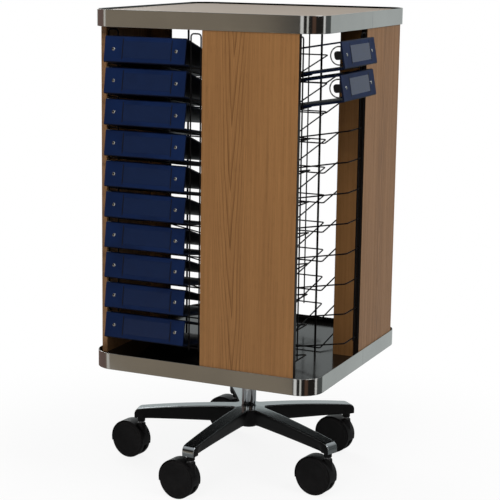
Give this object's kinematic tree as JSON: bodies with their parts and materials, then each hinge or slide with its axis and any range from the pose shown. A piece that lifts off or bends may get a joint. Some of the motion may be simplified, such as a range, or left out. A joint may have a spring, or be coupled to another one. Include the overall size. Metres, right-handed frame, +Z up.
{
  "type": "medical chart rack",
  "caption": "Revolving medical chart rack: square wood and steel carousel of tilted wire shelves holding chart binders, on a five-star caster base.",
  "frame": {"origin": "on the floor at the middle of the footprint", "axes": "+Z up along the column; +X towards the side whose charts stand proud, -Y towards the full bay"},
  "size_m": [0.7759, 0.679, 1.309],
  "materials": {
    "base_black": "gloss black with buffed upper faces",
    "chrome": "polished",
    "steel": "zinc plated",
    "bearing_black": "satin black",
    "laminate": "taupe laminate over board",
    "band_steel": "polished stainless",
    "oak": "satin lacquered oak",
    "wire_black": "black plastic coating",
    "hood_black": "moulded gloss black",
    "wheel_black": "moulded black",
    "chart_blue": "smooth moulded blue",
    "ring_metal": "nickel plated"
  },
  "bodies": {
    "base": {"star_base": "base_black", "column": "chrome", "bearing_base": "steel"},
    "carousel": {"bearing_cap": "bearing_black", "bottom_deck": "laminate", "top_deck": "laminate", "bottom_band": "band_steel", "top_band": "band_steel", "panel_a": "oak", "fin_a": "oak", "wire_rack_a": "wire_black", "panel_b": "oak", "fin_b": "oak", "wire_rack_b": "wire_black", "panel_c": "oak", "fin_c": "oak", "wire_rack_c": "wire_black", "panel_d": "oak", "fin_d": "oak", "wire_rack_d": "wire_black"},
    "caster_1": {"caster_hood_1": "hood_black"},
    "wheels_1": {"caster_wheels_1": "wheel_black"},
    "caster_2": {"caster_hood_2": "hood_black"},
    "wheels_2": {"caster_wheels_2": "wheel_black"},
    "caster_3": {"caster_hood_3": "hood_black"},
    "wheels_3": {"caster_wheels_3": "wheel_black"},
    "caster_4": {"caster_hood_4": "hood_black"},
    "wheels_4": {"caster_wheels_4": "wheel_black"},
    "caster_5": {"caster_hood_5": "hood_black"},
    "wheels_5": {"caster_wheels_5": "wheel_black"},
    "chart_01": {"binder_01": "chart_blue", "rings_01": "ring_metal"},
    "chart_02": {"binder_02": "chart_blue", "rings_02": "ring_metal"},
    "chart_03": {"binder_03": "chart_blue", "rings_03": "ring_metal"},
    "chart_04": {"binder_04": "chart_blue", "rings_04": "ring_metal"},
    "chart_05": {"binder_05": "chart_blue", "rings_05": "ring_metal"},
    "chart_06": {"binder_06": "chart_blue", "rings_06": "ring_metal"},
    "chart_07": {"binder_07": "chart_blue", "rings_07": "ring_metal"},
    "chart_08": {"binder_08": "chart_blue", "rings_08": "ring_metal"},
    "chart_09": {"binder_09": "chart_blue", "rings_09": "ring_metal"},
    "chart_10": {"binder_10": "chart_blue", "rings_10": "ring_metal"},
    "chart_11": {"binder_11": "chart_blue", "rings_11": "ring_metal"},
    "chart_12": {"binder_12": "chart_blue", "rings_12": "ring_metal"}
  },
  "joints": [
    {"name": "carousel_turn", "type": "hinge", "parent": "base", "child": "carousel", "pos_m": [0.017, 0.009, 0.336], "axis": [0, 0, 1], "continuous": true},
    {"name": "caster_1_swivel", "type": "hinge", "parent": "base", "child": "caster_1", "pos_m": [-0.01072, -0.30779, 0.1075], "axis": [0, 0, 1], "continuous": true},
    {"name": "caster_1_roll", "type": "hinge", "parent": "caster_1", "child": "wheels_1", "pos_m": [-0.04736, -0.30264, 0.054], "axis": [0.1392, 0.9903, 0], "continuous": true},
    {"name": "caster_2_swivel", "type": "hinge", "parent": "base", "child": "caster_2", "pos_m": [0.30972, -0.11525, 0.1075], "axis": [0, 0, 1], "continuous": true},
    {"name": "caster_2_roll", "type": "hinge", "parent": "caster_2", "child": "wheels_2", "pos_m": [0.27308, -0.1101, 0.054], "axis": [0.1392, 0.9903, 0], "continuous": true},
    {"name": "caster_3_swivel", "type": "hinge", "parent": "base", "child": "caster_3", "pos_m": [0.22563, 0.249, 0.1075], "axis": [0, 0, 1], "continuous": true},
    {"name": "caster_3_roll", "type": "hinge", "parent": "caster_3", "child": "wheels_3", "pos_m": [0.18899, 0.25415, 0.054], "axis": [0.1392, 0.9903, 0], "continuous": true},
    {"name": "caster_4_swivel", "type": "hinge", "parent": "base", "child": "caster_4", "pos_m": [-0.14678, 0.28158, 0.1075], "axis": [0, 0, 1], "continuous": true},
    {"name": "caster_4_roll", "type": "hinge", "parent": "caster_4", "child": "wheels_4", "pos_m": [-0.18342, 0.28673, 0.054], "axis": [0.1392, 0.9903, 0], "continuous": true},
    {"name": "caster_5_swivel", "type": "hinge", "parent": "base", "child": "caster_5", "pos_m": [-0.29285, -0.06253, 0.1075], "axis": [0, 0, 1], "continuous": true},
    {"name": "caster_5_roll", "type": "hinge", "parent": "caster_5", "child": "wheels_5", "pos_m": [-0.32949, -0.05739, 0.054], "axis": [0.1392, 0.9903, 0], "continuous": true},
    {"name": "chart_01_slide", "type": "slide", "parent": "carousel", "child": "chart_01", "axis": [0, -0.9848, 0.1736], "range_m": [0, 0.3]},
    {"name": "chart_02_slide", "type": "slide", "parent": "carousel", "child": "chart_02", "axis": [0, -0.9848, 0.1736], "range_m": [0, 0.3]},
    {"name": "chart_03_slide", "type": "slide", "parent": "carousel", "child": "chart_03", "axis": [0, -0.9848, 0.1736], "range_m": [0, 0.3]},
    {"name": "chart_04_slide", "type": "slide", "parent": "carousel", "child": "chart_04", "axis": [0, -0.9848, 0.1736], "range_m": [0, 0.3]},
    {"name": "chart_05_slide", "type": "slide", "parent": "carousel", "child": "chart_05", "axis": [0, -0.9848, 0.1736], "range_m": [0, 0.3]},
    {"name": "chart_06_slide", "type": "slide", "parent": "carousel", "child": "chart_06", "axis": [0, -0.9848, 0.1736], "range_m": [0, 0.3]},
    {"name": "chart_07_slide", "type": "slide", "parent": "carousel", "child": "chart_07", "axis": [0, -0.9848, 0.1736], "range_m": [0, 0.3]},
    {"name": "chart_08_slide", "type": "slide", "parent": "carousel", "child": "chart_08", "axis": [0, -0.9848, 0.1736], "range_m": [0, 0.3]},
    {"name": "chart_09_slide", "type": "slide", "parent": "carousel", "child": "chart_09", "axis": [0, -0.9848, 0.1736], "range_m": [0, 0.3]},
    {"name": "chart_10_slide", "type": "slide", "parent": "carousel", "child": "chart_10", "axis": [0, -0.9848, 0.1736], "range_m": [0, 0.3]},
    {"name": "chart_11_slide", "type": "slide", "parent": "carousel", "child": "chart_11", "axis": [0.9848, 0, 0.1736], "range_m": [-0.022, 0.278]},
    {"name": "chart_12_slide", "type": "slide", "parent": "carousel", "child": "chart_12", "axis": [0.9848, 0, 0.1736], "range_m": [-0.022, 0.278]}
  ]
}
